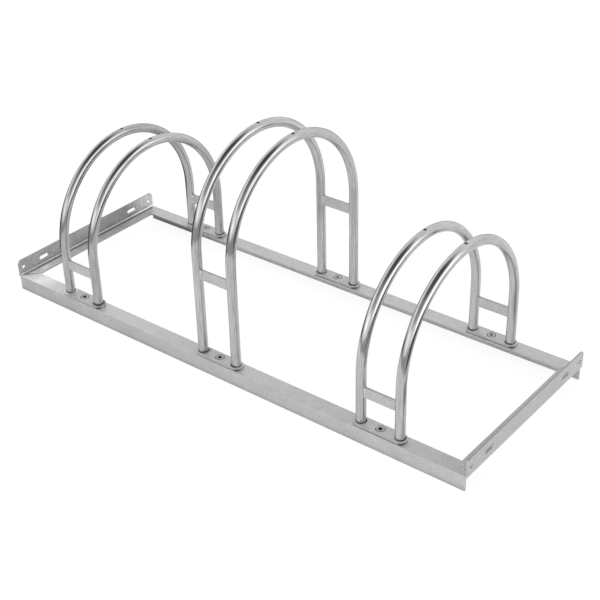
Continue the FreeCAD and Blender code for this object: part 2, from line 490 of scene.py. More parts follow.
@dataclass(frozen=True)
class RailFinish(ZincFinish):
    """Zinc on the front rail, with painted light: its top and front face are lit differently
    along it, its left corner has a painted highlight, and the lower edge of its front face a
    painted shadow.

    Attributes:
        top_light: Brightness factor of the painted light on the top at the left and the right
            end.
        face_light: The same for the front face.
        upward: Z of a face's direction where it is front face, and where it is top.
        corner_highlight: Brightness factor at the left corner of the top.
        corner_reach: How far from the corner it is brighter.
        edge_light: Brightness factor of the painted shadow at the lower edge of the front face.
        edge_reach: Height up to which that edge is darker.
        reach: Distance of the ends from the middle of the rack.
    """

    top_light: Span = (1.06, 0.86)
    face_light: Span = (0.82, 1.00)
    upward: Span = (0.3, 0.9)
    corner_highlight: float = 1.75
    corner_reach: float = 0.08
    edge_light: float = 0.78
    edge_reach: float = 0.010
    reach: float = 0.50

    def shade(self, nodes: NodeTree) -> Socket:
        """Return the painted light's brightness factor, by place on the top and on the front
        face.

        Args:
            nodes: The material's node tree.

        Returns:
            The factor.
        """
        # Painted light and shade: top and front face lit differently along the rail, a painted
        # highlight at the left corner, a painted shadow along the foot of the front face.
        x, _, z = nodes.split(nodes.object_place())
        ends = around(0.0, self.reach)
        top = nodes.remap(x, ends, self.top_light)
        face = nodes.remap(x, ends, self.face_light)
        corner = nodes.remap(x, (-self.reach, self.corner_reach - self.reach),
                             (self.corner_highlight, 1.0), smooth=True)
        edge = nodes.remap(z, (0.0, self.edge_reach), (self.edge_light, 1.0), smooth=True)
        return nodes.mix(MixKind.NUMBERS, nodes.remap(nodes.facing()[2], self.upward),
                         nodes.product(face, edge), nodes.product(top, corner))


@dataclass(frozen=True)
class RearRailFinish(ZincFinish):
    """Zinc on the rear rail, with painted shade on its inner side at the left end.

    Attributes:
        inner_shade_light: Brightness factor of the inner side at the left end.
        inner_shade_range: Where along the rail it begins and ends to become brighter.
        inward: Y of a face's direction where it isn't inner side, and where it is.
    """

    inner_shade_light: float = 0.40
    inner_shade_range: Span = (-0.40, -0.28)
    inward: Span = (-0.3, -0.7)

    def shade(self, nodes: NodeTree) -> Socket:
        """Return the brightness factor, with the painted shade on the inner side at the left end.

        Args:
            nodes: The material's node tree.

        Returns:
            The factor.
        """
        x = nodes.split(nodes.object_place())[0]
        # Painted shade on the inner side, fading out toward the middle of the rail.
        dull = nodes.remap(x, self.inner_shade_range, (self.inner_shade_light, 1.0), smooth=True)
        is_inner = nodes.remap(nodes.facing()[1], self.inward)
        return nodes.mix(MixKind.NUMBERS, is_inner, 1.0, dull)


@dataclass(frozen=True)
class PlateFinish(ZincFinish):
    """Zinc on a foot plate, with a painted contact shadow where its edge meets the rail.

    Attributes:
        contact: Heights at which the painted shadow line begins to fade, and at which it has
            ended.
        contact_shade: How much darker the painted shadow is, in general and at the front right.
        front_right: X less Y of a face's direction for the first, and for the second.
    """

    contact: Span = (0.0318, 0.0328)
    contact_shade: Span = (0.20, 0.85)
    front_right: Span = (1.15, 1.38)

    def shade(self, nodes: NodeTree) -> Socket:
        """Return the brightness factor, with the painted contact shadow at the foot of the
        plate's edge.

        Args:
            nodes: The material's node tree.

        Returns:
            The factor.
        """
        # Painted contact shadow: darker low on the plate's edge, most at the front right.
        z = nodes.split(nodes.object_place())[2]
        to_right, to_rear, _ = nodes.facing()
        depth = nodes.remap(nodes.math("SUBTRACT", to_right, to_rear), self.front_right,
                            self.contact_shade)
        low = nodes.remap(z, self.contact, (1.0, 0.0))
        return nodes.math("SUBTRACT", 1.0, nodes.product(low, depth))


@dataclass(frozen=True)
class ScrewFinish(ZincFinish):
    """Zinc on the screws, with painted shade down in their sockets.

    Attributes:
        socket_floor: Height of the lowest part of a socket.
        socket_rim: Height just below the tops of the screws' heads.
        socket_light: Brightness factor of the painted shade in between.
    """

    socket_floor: float = 0.0300
    socket_rim: float = 0.0342
    socket_light: float = 0.10

    def shade(self, nodes: NodeTree) -> Socket:
        """Return the brightness factor, with painted shade between a socket's floor and its rim.

        Args:
            nodes: The material's node tree.

        Returns:
            The factor.
        """
        # Painted shade inside the sockets, by height alone.
        z = nodes.split(nodes.object_place())[2]
        inside = nodes.product(nodes.math("LESS_THAN", z, self.socket_rim),
                               nodes.math("GREATER_THAN", z, self.socket_floor))
        return nodes.remap(inside, (0.0, 1.0), (1.0, self.socket_light))


@dataclass(frozen=True, kw_only=True)
class DrawnTubeFinish(ZincFinish):
    """Zinc on a drawn tube: its marks follow the two legs and the half-circle between them, with
    painted shade in its bore and round its vent hole.

    Attributes:
        bend_radius: Radius of the tube's centre line in the half-circle.
        bend_height: Height of the half-circle's centre.
        centre_x: Where the tube's centre line lies across the rack.
        leg_dullness: How much rougher the legs and the rear of the bend are.
        rear_fade: How far to the rear the dullness of the rear begins, and is full.
        leg_fade: Heights over the half-circle's centre where the legs' is full, and ends.
        bore: Radius that the tube's inside keeps within.
        vent_rim: Radii at which the painted shade round the vent hole begins to fade, and has
            ended.
        inside_light: Brightness factor of the painted shade inside the bore and round the vent
            hole.
    """

    roughness: Span = (0.09, 0.16)
    cloud: float = 60.0
    grain: float = 460.0
    grain_depth: float = 0.20
    skin: float = 0.00001
    spread: Spread = Spread.ALONG_TUBE
    metal: float = 1.0
    bend_radius: float
    bend_height: float
    centre_x: float
    leg_dullness: float = 0.10
    rear_fade: Span = (0.0, 0.06)
    leg_fade: Span = (-0.02, 0.03)
    bore: float = 0.0082
    vent_rim: Span = (0.0028, 0.0031)
    inside_light: float = 0.04

    def place(self, nodes: NodeTree) -> Socket:
        """Return coordinates that are unrolled from the tube's bend.

        Args:
            nodes: The material's node tree.

        Returns:
            X across the rack, Y from the half-circle's centre outward, and Z along the tube.
        """
        x, y, z = nodes.split(nodes.object_place())
        forward = nodes.product(y, -1.0)
        above = nodes.math("SUBTRACT", z, self.bend_height)
        in_bend = nodes.math("MAXIMUM", above, 0.0)
        in_leg = nodes.math("MINIMUM", above, 0.0)
        bent_length = nodes.product(nodes.math("ARCTAN2", in_bend, forward), self.bend_radius)
        leg_length = nodes.product(in_leg, nodes.math("SIGN", forward))
        along = nodes.math("ADD", bent_length, leg_length)
        return nodes.result("CombineXYZ", X=x, Y=nodes.length(forward, in_bend), Z=along)

    def shade(self, nodes: NodeTree) -> Socket:
        """Return the brightness factor, with painted shade inside the bore and round the vent
        hole.

        Args:
            nodes: The material's node tree.

        Returns:
            The factor.
        """
        # Painted shade inside the bore and on a rim round the vent hole.
        x, distance, along = nodes.split(self.place(nodes))
        across = nodes.math("SUBTRACT", x, self.centre_x)
        outward = nodes.math("SUBTRACT", distance, self.bend_radius)
        from_top = nodes.math("SUBTRACT", along, self.bend_radius * math.pi / 2)
        outside = nodes.math("GREATER_THAN", nodes.length(across, outward), self.bore)
        past_vent = nodes.remap(nodes.length(across, from_top), self.vent_rim)
        clear = nodes.math("MINIMUM", outside, past_vent)
        return nodes.remap(clear, (0.0, 1.0), (self.inside_light, 1.0))

    def worn(self, nodes: NodeTree, rough: Socket) -> Socket:
        """Return the roughness, which is less where the front of the bend is burnished.

        Args:
            nodes: The material's node tree.
            rough: The roughness without wear.

        Returns:
            The roughness after wear.
        """
        _, y, z = nodes.split(nodes.object_place())
        above = nodes.math("SUBTRACT", z, self.bend_height)
        rear = nodes.remap(y, self.rear_fade, (0.0, self.leg_dullness), smooth=True)
        low = nodes.remap(above, self.leg_fade, (self.leg_dullness, 0.0), smooth=True)
        return nodes.math("ADD", rough, nodes.math("MAXIMUM", rear, low))


@dataclass(frozen=True)
class WeldFinish(Finish):
    """Zinc over a weld bead: rougher, and light and dark in random blots.

    Attributes:
        light: Brightness of the light blots.
        dark: Brightness between them.
        roughness: Roughness all over.
    """

    BLOTS: ClassVar[float] = 420.0
    BLOT_STOPS: ClassVar[Span] = (0.34, 0.60)
    PIMPLES: ClassVar[float] = 900.0
    PIMPLE_HEIGHT: ClassVar[float] = 0.00012
    PIMPLE_STRENGTH: ClassVar[float] = 0.5

    light: float
    dark: float
    roughness: float

    def surface(self, nodes: NodeTree) -> Socket:
        """Add the blotted colour and the pimples.

        Args:
            nodes: The material's node tree.

        Returns:
            The shader.
        """
        place = nodes.object_place()
        blots = nodes.noise(place, self.BLOTS, detail=3.0, roughness=0.6)
        colour = nodes.ramp(blots, zip(self.BLOT_STOPS, (self.dark, self.light)))
        bump = nodes.result("Bump", Height=nodes.noise(place, self.PIMPLES),
                            Strength=self.PIMPLE_STRENGTH, Distance=self.PIMPLE_HEIGHT)
        return nodes.result("BsdfPrincipled", Base_Color=colour, Metallic=1.0,
                            Roughness=self.roughness, Normal=bump)


@dataclass(frozen=True)
class GapFinish(Finish):
    """Painted shade: the dark of a narrow deep gap, on a plain dark sheet.

    Attributes:
        light: Its brightness.
        roughness: Its roughness.
    """

    light: float
    roughness: float

    def surface(self, nodes: NodeTree) -> Socket:
        """Add the plain dark shader and return it."""
        return nodes.result("BsdfPrincipled", Base_Color=grey(self.light),
                            Roughness=self.roughness)


FRONT_RAIL_FINISH = RailFinish("zinc_on_front_rail", light=0.60, dark=0.52,
                               roughness=(0.28, 0.40), cloud=30.0, grain=420.0,
                               grain_depth=0.14)
REAR_RAIL_FINISH = RearRailFinish("zinc_on_rear_rail", light=0.57, dark=0.48,
                                  roughness=(0.28, 0.40), cloud=30.0, grain=420.0,
                                  grain_depth=0.14)
# The left angle's zinc is darker than the right one's. This is painted shade for the shaded inner
# face of its upstand.
LEFT_ANGLE_FINISH = EndAngleFinish("zinc_on_left_angle", light=0.42, dark=0.31,
                                   roughness=(0.30, 0.42), cloud=44.0, grain=330.0,
                                   grain_depth=0.20)
RIGHT_ANGLE_FINISH = EndAngleFinish("zinc_on_right_angle", light=0.55, dark=0.47,
                                    roughness=(0.30, 0.42), cloud=44.0, grain=420.0,
                                    grain_depth=0.12, root=0.512, root_shade_light=0.75,
                                    fillet_highlight=1.0, flange_sheen=(0.90, 0.90),
                                    rear_light=1.0)
PLATE_FINISH = PlateFinish("zinc_on_plate", light=0.54, dark=0.44, roughness=(0.28, 0.42),
                           cloud=60.0, grain=420.0, grain_depth=0.16)
BAR_FINISH = DarkTopFinish("zinc_on_bar", light=0.57, dark=0.48, roughness=(0.26, 0.38),
                            cloud=60.0, grain=420.0, grain_depth=0.14)
SCREW_FINISH = ScrewFinish("zinc_on_screw", light=0.46, dark=0.30, roughness=(0.20, 0.32),
                           cloud=180.0, grain=700.0, grain_depth=0.12)
# WELD_FINISH's near-white light blots are partly a painted glint on the blotched zinc of the
# crossbar welds and bright collars.
WELD_FINISH = WeldFinish("zinc_over_weld", light=0.95, dark=0.40, roughness=0.32)
SEAM_FINISH = WeldFinish("zinc_over_seam", light=0.62, dark=0.40, roughness=0.44)
COLLAR_FINISH = WeldFinish("zinc_in_foot_corner", light=0.40, dark=0.10, roughness=0.30)
GAP_FINISH = GapFinish("shaded_gap", light=0.025, roughness=0.7)


# ---------------------------------------------------------------- pieces

def dressed(node: str, finish: Finish) -> bpy.types.Object:
    """Give a CAD node its finish.

    Args:
        node: The node's name.
        finish: The finish for all of it.

    Returns:
        The node's object.
    """
    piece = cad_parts[node]
    piece.data.materials.clear()
    piece.data.materials.append(finish.material())
    return piece


def linked(name: str, shape: bmesh.types.BMesh, finish: Finish) -> bpy.types.Object:
    """Turn a shape into an object of the scene.

    Args:
        name: The object's name.
        shape: The shape, which is used up.
        finish: Its finish.

    Returns:
        The object.
    """
    mesh = bpy.data.meshes.new(name)
    shape.to_mesh(mesh)
    shape.free()
    mesh.materials.append(finish.material())
    item = bpy.data.objects.new(name, mesh)
    bpy.context.scene.collection.objects.link(item)
    return item


def riding(name: str, shape: bmesh.types.BMesh, finish: Finish) -> bpy.types.Object:
    """Turn a closed shape into a piece that rides on the rack.

    Args:
        name: The piece's name.
        shape: The shape, which is used up.
        finish: Its finish.

    Returns:
        The piece.
    """
    bmesh.ops.recalc_face_normals(shape, faces=shape.faces)
    piece = linked(name, shape, finish)
    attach(piece, ROOT_BODY)
    return piece


def skin_rows(shape: bmesh.types.BMesh, rows: list[list[bmesh.types.BMVert]]) -> None:
    """Join rings of points to their followers with four-sided faces.

    Args:
        shape: The shape that the points belong to.
        rows: The rings, each with the same number of points.
    """
    for row, following in zip(rows, rows[1:]):
        for side in range(len(row)):
            corner = (side + 1) % len(row)
            shape.faces.new((row[side], row[corner], following[corner], following[side]))


@dataclass(frozen=True)
class Bead:
    """A rippled weld bead along a line.

    Attributes:
        path: The line, as points along the joint.
        out: Which way the bead stands out from the joint.
        width: Its width across the line.
        height: How far it stands out.
    """

    RIPPLE: ClassVar[float] = 0.0016
    RIPPLE_DEPTH: ClassVar[float] = 0.12
    STEPS_PER_RIPPLE: ClassVar[int] = 4
    SIDES: ClassVar[int] = 10
    UNEVENNESS: ClassVar[Span] = (0.97, 1.03)
    END_AREA: ClassVar[float] = 0.25
    TAPER_PER_WIDTH: ClassVar[float] = 0.6

    path: tuple[Vector, ...]
    out: Vector
    width: float
    height: float

    def points(self, step: float) -> list[Vector]:
        """Return points along the line.

        Args:
            step: The distance between them, about.

        Returns:
            The points, both ends among them.
        """
        found = [self.path[0].copy()]
        for start, end in zip(self.path, self.path[1:]):
            count = max(1, round((end - start).length / step))
            for index in range(1, count + 1):
                found.append(start.lerp(end, index / count))
        return found

    def swell(self, steps: int, steps_to_end: int, step: float) -> float:
        """Return the size of the bead's cross section, where 1 is its full size.

        Args:
            steps: How many steps from the bead's start it lies.
            steps_to_end: How many steps from the nearer end.
            step: The length of a step.

        Returns:
            The size.
        """
        wave = abs(math.sin(math.pi * steps / self.STEPS_PER_RIPPLE))
        ripple = 1.0 - self.RIPPLE_DEPTH + self.RIPPLE_DEPTH * wave
        taper_length = self.TAPER_PER_WIDTH * self.width
        area = min(1.0, self.END_AREA + steps_to_end * step / taper_length)
        return ripple * math.sqrt(area)

    def add_to(self, shape: bmesh.types.BMesh, chance: random.Random) -> None:
        """Add the bead's closed surface to a shape.

        Args:
            shape: The shape that takes it.
            chance: Source of the small unevenness.
        """
        step = self.RIPPLE / self.STEPS_PER_RIPPLE
        centres = self.points(step)
        last = len(centres) - 1
        rings = []
        for index, centre in enumerate(centres):
            before = centres[max(index - 1, 0)]
            after = centres[min(index + 1, last)]
            along = (after - before).normalized()
            out = (self.out - along * self.out.dot(along)).normalized()
            across = along.cross(out)
            size = self.swell(index, min(index, last - index), step)
            size *= chance.uniform(*self.UNEVENNESS)
            ring = []
            for side in range(self.SIDES):
                angle = 2 * math.pi * side / self.SIDES
                offset = across * (math.cos(angle) * self.width / 2 * size)
                offset += out * (math.sin(angle) * self.height * size)
                ring.append(shape.verts.new(centre + offset))
            rings.append(ring)
        skin_rows(shape, rings)
        shape.faces.new(rings[0][::-1])
        shape.faces.new(rings[-1])


def bead_piece(name: str, beads: list[Bead], finish: WeldFinish) -> bpy.types.Object:
    """Build one smooth piece from several weld beads.

    Args:
        name: The piece's name.
        beads: The beads.
        finish: Their finish.

    Returns:
        The piece.
    """
    chance = random.Random(f"{RANDOM_SEED}-{name}")
    shape = bmesh.new()
    for bead in beads:
        bead.add_to(shape, chance)
    for face in shape.faces:
        face.smooth = True
    return riding(name, shape, finish)


@dataclass(frozen=True)
class ShadeRing:
    """A thin dark ring of painted shade, laid where a narrow deep gap is.

    Attributes:
        centre: The middle of its inner circle.
        inner: Radius of the inner circle.
        outer: Radius of the outer circle.
        height: How far the ring stands above its centre.
        shift: How far the outer circle is off centre.
    """

    SIDES: ClassVar[int] = 48

    centre: Vector
    inner: float
    outer: float
    height: float
    shift: Triple = (0.0, 0.0, 0.0)

    def circle(self, shape: bmesh.types.BMesh, radius: float, lift: float,
               shift: Vector) -> list[bmesh.types.BMVert]:
        """Add the points of a circle to a shape.

        Args:
            shape: The shape that takes them.
            radius: The circle's radius.
            lift: How far above the ring's centre it lies.
            shift: How far it is off centre.

        Returns:
            The points.
        """
        points = []
        for side in range(self.SIDES):
            angle = 2 * math.pi * side / self.SIDES
            offset = Vector((math.cos(angle) * radius, math.sin(angle) * radius, lift))
            points.append(shape.verts.new(self.centre + offset + shift))
        return points

    def add_to(self, shape: bmesh.types.BMesh) -> None:
        """Add the closed ring to a shape.

        Args:
            shape: The shape that takes it.
        """
        centred, shifted = Vector((0, 0, 0)), Vector(self.shift)
        rows = [
            self.circle(shape, self.inner, 0.0, centred),
            self.circle(shape, self.inner, self.height, centred),
            self.circle(shape, self.outer, self.height, shifted),
            self.circle(shape, self.outer, 0.0, shifted),
        ]
        skin_rows(shape, rows + rows[:1])


def ring_piece(name: str, rings: list[ShadeRing]) -> bpy.types.Object:
    """Build one piece of painted shade from several rings.

    Args:
        name: The piece's name.
        rings: The rings.

    Returns:
        The piece.
    """
    shape = bmesh.new()
    for ring in rings:
        ring.add_to(shape)
    return riding(name, shape, GAP_FINISH)


# ---------------------------------------------------------------- the rack

def holder_node(bay: Bay, piece: str) -> str:
    """Return the name of one of a wheel holder's pieces."""
    return f"{bay.value}_holder_{piece}"


class Hoop:
    """The measures of a bent tube, read from its box.

    Attributes:
        radius: Outer radius of the tube.
        centre_x: Where its centre line lies across the rack.
        bend_radius: Radius of the centre line in the half-circle.
        bend_height: Height of the half-circle's centre.
        foot_y: Where its two feet stand between the front and the rear.
        plate_tops: Heights of the tops of the plates that they stand in.
    """

    def __init__(self, bay: Bay, side: Side) -> None:
        """Read the measures.

        Args:
            bay: Where its wheel holder stands.
            side: Which of the holder's two hoops it is.
        """
        low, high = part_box(holder_node(bay, f"{side.value}_hoop"))
        self.radius = (high.x - low.x) / 2
        self.centre_x = (low.x + high.x) / 2
        self.bend_radius = (high.y - low.y) / 2 - self.radius
        self.bend_height = high.z - self.radius - self.bend_radius
        self.foot_y = {Depth.FRONT: low.y + self.radius, Depth.REAR: high.y - self.radius}
        self.plate_tops = {depth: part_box(holder_node(bay, f"{depth.value}_foot_plate"))[1].z
                           for depth in Depth}

    def foot(self, depth: Depth) -> Vector:
        """Return the middle of a foot, at the top of its plate."""
        return Vector((self.centre_x, self.foot_y[depth], self.plate_tops[depth]))


class Assembly(ABC):
    """A part of the rack that dresses its CAD nodes and adds pieces of its own."""

    @abstractmethod
    def build(self) -> list[bpy.types.Object]:
        """Dress the nodes, build the pieces, and return them all."""


@dataclass(frozen=True)
class BaseFrame(Assembly):
    """Four mitred angles and the welds at their corners.

    Attributes:
        seam_width: Width of the flat bead along a mitre.
        seam_height: How far it stands above the flanges.
        seam_start: How far from the inner corner it starts, as a share of its width.
        end_gap: How far a seam stops short of the upstand's inside corner.
        blob: Length, width and height of the blob at its end.
    """

    seam_width: float = 0.0032
    seam_height: float = 0.0005
    seam_start: float = 0.4
    end_gap: float = 0.0040
    blob: Triple = (0.0030, 0.0050, 0.0011)

    def mitre_line(self, side: int, depth: int) -> tuple[Vector, Vector]:
        """Return the ends of a mitre on top of the flanges.

        Args:
            side: -1 for the left end, 1 for the right one.
            depth: -1 for the front corner, 1 for the rear one.

        Returns:
            The inner and the outer end.
        """
        rail_low, rail_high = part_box("front_rail")
        end_low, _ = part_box("right_end_angle")
        inner = Vector((side * end_low.x, depth * -rail_high.y, rail_high.z))
        outer = Vector((side * rail_high.x, depth * -rail_low.y, rail_high.z))
        return inner, outer

    def corner_beads(self) -> list[Bead]:
        """Return a flat seam along each mitre, and a blob where it ends.

        Returns:
            The beads.
        """
        beads = []
        for side in (-1, 1):
            for depth in (-1, 1):
                inner, outer = self.mitre_line(side, depth)
                along = (outer - inner).normalized()
                start = inner + along * self.seam_width * self.seam_start
                end = outer - along * self.end_gap
                blob_length, blob_width, blob_height = self.blob
                beads.append(Bead((start, end), UP, self.seam_width, self.seam_height))
                beads.append(Bead((end - along * blob_length, end), UP, blob_width, blob_height))
        return beads

    def build(self) -> list[bpy.types.Object]:
        """Dress the four angles and lay the seams.

        Returns:
            The pieces.
        """
        return [
            dressed("front_rail", FRONT_RAIL_FINISH),
            dressed("rear_rail", REAR_RAIL_FINISH),
            dressed("left_end_angle", LEFT_ANGLE_FINISH),
            dressed("right_end_angle", RIGHT_ANGLE_FINISH),
            bead_piece("corner_weld_seams", self.corner_beads(), SEAM_FINISH),
        ]


@dataclass(frozen=True)
class WheelHolder(Assembly):
    """Two hoops, their crossbars and foot plates, and the welds between them.

    Attributes:
        bay: Where it stands in the rack.
        tube_light: Brightness of its tubes' clean zinc.
        patch_depth: How much darker the tubes' dull patches are.
        bead_width: Width of a bead between a crossbar and a tube.
        bead_height: How far it stands out.
        bead_sink: How far its middle lies inside the tube, as a share of its width.
        bead_lean: How much it leans from the bar's face to the middle of the bar.
        end_gap: How far it stops short of the bar's edges.
    """

    bay: Bay
    tube_light: float
    patch_depth: float = 0.15
    bead_width: float = 0.0030
    bead_height: float = 0.0012
    bead_sink: float = 0.15
    bead_lean: float = 0.35
    end_gap: float = 0.0004

    def tube_finish(self, side: Side) -> DrawnTubeFinish:
        """Return a hoop's finish, whose marks follow its bend.

        Args:
            side: Which of the two hoops.

        Returns:
            The finish.
        """
        hoop = Hoop(self.bay, side)
        return DrawnTubeFinish(f"zinc_on_{self.bay.value}_{side.value}_tube",
                               light=self.tube_light, dark=self.tube_light - self.patch_depth,
                               bend_radius=hoop.bend_radius, bend_height=hoop.bend_height,
                               centre_x=hoop.centre_x)

    def joint_beads(self, depth: Depth) -> list[Bead]:
        """Return the beads between a crossbar and its two tubes.

        Args:
            depth: Which crossbar.

        Returns:
            One bead on each face of the bar at each end, from its bottom edge to its top edge.
        """
        low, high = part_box(holder_node(self.bay, f"{depth.value}_crossbar"))
        hoop = Hoop(self.bay, Side.LEFT)
        half_bar = (high.y - low.y) / 2
        middle_x = (low.x + high.x) / 2
        reach = middle_x - hoop.centre_x - math.sqrt(hoop.radius**2 - half_bar**2)
        beads = []
        for side in (-1, 1):
            for face, face_y in ((-1, low.y), (1, high.y)):
                x = middle_x + side * (reach + self.bead_width * self.bead_sink)
                bottom = Vector((x, face_y, low.z + self.end_gap))
                top = Vector((x, face_y, high.z - self.end_gap))
                out = Vector((-side * self.bead_lean, face, 0)).normalized()
                beads.append(Bead((bottom, top), out, self.bead_width, self.bead_height))
        return beads

    def build(self) -> list[bpy.types.Object]:
        """Dress the holder's six nodes and weld its crossbars.

        Returns:
            The pieces.
        """
        pieces = []
        for side in Side:
            hoop = holder_node(self.bay, f"{side.value}_hoop")
            pieces.append(dressed(hoop, self.tube_finish(side)))
        for depth in Depth:
            crossbar = holder_node(self.bay, f"{depth.value}_crossbar")
            plate = holder_node(self.bay, f"{depth.value}_foot_plate")
            pieces += [dressed(crossbar, BAR_FINISH), dressed(plate, PLATE_FINISH)]
        beads = self.joint_beads(Depth.FRONT) + self.joint_beads(Depth.REAR)
        pieces.append(bead_piece(holder_node(self.bay, "crossbar_welds"), beads, WELD_FINISH))
        return pieces


@dataclass(frozen=True)
class FootGapShades(Assembly):
    """Rings of painted shade round the twelve feet of the tubes, where the tubes stand in their
    plates' holes.

    Attributes:
        width: Smallest and largest mean width of a gap.
        overlap: How far the rings reach into the tubes.
        shift: How far a foot's hole is off centre.
        headings: Between which directions it is off centre, in degrees from +X.
        height: How far the rings stand above the plates.
    """

    width: Span = (0.0005, 0.0011)
    overlap: float = 0.0002
    shift: float = 0.0006
    headings: Span = (-110, 20)
    height: float = 0.0002

    def build(self) -> list[bpy.types.Object]:
        """Build the rings round all the feet.

        Returns:
            One piece.
        """
        # Each ring is painted shade for the gap between a tube and its plate's hole.
        chance = random.Random(f"{RANDOM_SEED}-feet")
        rings = []
        for bay in Bay:
            for side in Side:
                hoop = Hoop(bay, side)
                for depth in Depth:
                    angle = math.radians(chance.uniform(*self.headings))
                    shift = Vector((math.cos(angle), math.sin(angle), 0)) * self.shift
                    outer = hoop.radius + chance.uniform(*self.width)
                    rings.append(ShadeRing(hoop.foot(depth), hoop.radius - self.overlap, outer,
                                           self.height, tuple(shift)))
        return [ring_piece("tube_foot_gaps", rings)]


@dataclass(frozen=True)
class ScrewGapShades(Assembly):
    """Rings of painted shade round the screws' heads, and round the front screws' sockets.

    Attributes:
        recess: How far the screws' heads lie below the plates' tops.
        head_radii: Inner and outer radius of the ring round a head.
        head_height: How far it stands above the head.
        head_shift: How far its outer circle is off centre.
        socket_radii: Inner and outer radius of the ring of painted shade round a socket.
        socket_height: How far that ring stands above the head.
    """

    recess: float = 0.00045
    head_radii: Span = (0.0074, 0.0080)
    head_height: float = 0.0002
    head_shift: Triple = (0.0001, -0.0004, 0.0)
    socket_radii: Span = (0.0024, 0.0038)
    socket_height: float = 0.0001

    def build(self) -> list[bpy.types.Object]:
        """Build the rings of all the screws.

        Returns:
            One piece.
        """
        rings = []
        for bay in Bay:
            for depth in Depth:
                low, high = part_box(holder_node(bay, f"{depth.value}_foot_plate"))
                middle = (low + high) / 2
                centre = Vector((middle.x, middle.y, high.z - self.recess))
                rings.append(ShadeRing(centre, *self.head_radii, self.head_height,
                                       self.head_shift))
                # The front sockets get a wider ring of painted shade.
                if depth is Depth.FRONT:
                    rings.append(ShadeRing(centre, *self.socket_radii, self.socket_height))
        return [ring_piece("screw_head_gap_shades", rings)]


@dataclass(frozen=True)
class Collar:
    """Rough zinc that has run into the corner round part of a foot.

    Attributes:
        bay: Where the foot's wheel holder stands.
        side: Which of the holder's hoops the foot belongs to.
        depth: Which of the hoop's feet it is.
        start: The direction in which the collar starts, in degrees from +X.
        end: The direction in which it ends.
    """

    WIDTH: ClassVar[float] = 0.0042
    HEIGHT: ClassVar[float] = 0.0010
    GAP: ClassVar[float] = 0.0005
    STEP: ClassVar[float] = 10.0

    bay: Bay
    side: Side
    depth: Depth
    start: float
    end: float

    def bead(self) -> Bead:
        """Return the collar as a bead round the tube.

        Returns:
            The bead.
        """
        hoop = Hoop(self.bay, self.side)
        arm = hoop.radius + self.GAP + self.WIDTH / 2
        path = []
        for index in range(round((self.end - self.start) / self.STEP) + 1):
            angle = math.radians(self.start + index * self.STEP)
            offset = Vector((math.cos(angle) * arm, math.sin(angle) * arm, 0.0))
            path.append(hoop.foot(self.depth) + offset)
        return Bead(tuple(path), UP, self.WIDTH, self.HEIGHT)


@dataclass(frozen=True)
class FootCollars(Assembly):
    """A few collars of the same finish.

    Attributes:
        name: The piece's name.
        finish: The zinc's finish.
        collars: The collars.
    """

    name: str
    finish: WeldFinish
    collars: tuple[Collar, ...]

    def build(self) -> list[bpy.types.Object]:
        """Build one piece of all the collars."""
        return [bead_piece(self.name, [collar.bead() for collar in self.collars], self.finish)]


@dataclass(frozen=True)
class FootFasteners(Assembly):
    """Screws, washers and nuts.

    Attributes:
        nodes: Their CAD nodes.
    """

    nodes: tuple[str, ...] = ("foot_screws", "foot_washers", "foot_nuts")

    def build(self) -> list[bpy.types.Object]:
        """Dress the fasteners."""
        return [dressed(node, SCREW_FINISH) for node in self.nodes]


RACK: tuple[Assembly, ...] = (
    BaseFrame(),
    WheelHolder(Bay.LEFT, tube_light=0.52),
    WheelHolder(Bay.MIDDLE, tube_light=0.57),
    WheelHolder(Bay.RIGHT, tube_light=0.60),
    FootGapShades(),
    ScrewGapShades(),
    # Collars of dark zinc round two feet.
    FootCollars("dull_foot_collars", COLLAR_FINISH, (
        Collar(Bay.LEFT, Side.RIGHT, Depth.FRONT, -150.0, 110.0),
        Collar(Bay.MIDDLE, Side.LEFT, Depth.FRONT, -50.0, 60.0),
    )),
    # Collars of the near-white weld zinc round two feet, partly a painted glint.
    FootCollars("bright_foot_collars", WELD_FINISH, (
        Collar(Bay.LEFT, Side.LEFT, Depth.FRONT, -150.0, 60.0),
        Collar(Bay.LEFT, Side.LEFT, Depth.REAR, -90.0, 40.0),
    )),
    FootFasteners(),
)


# ---------------------------------------------------------------- studio

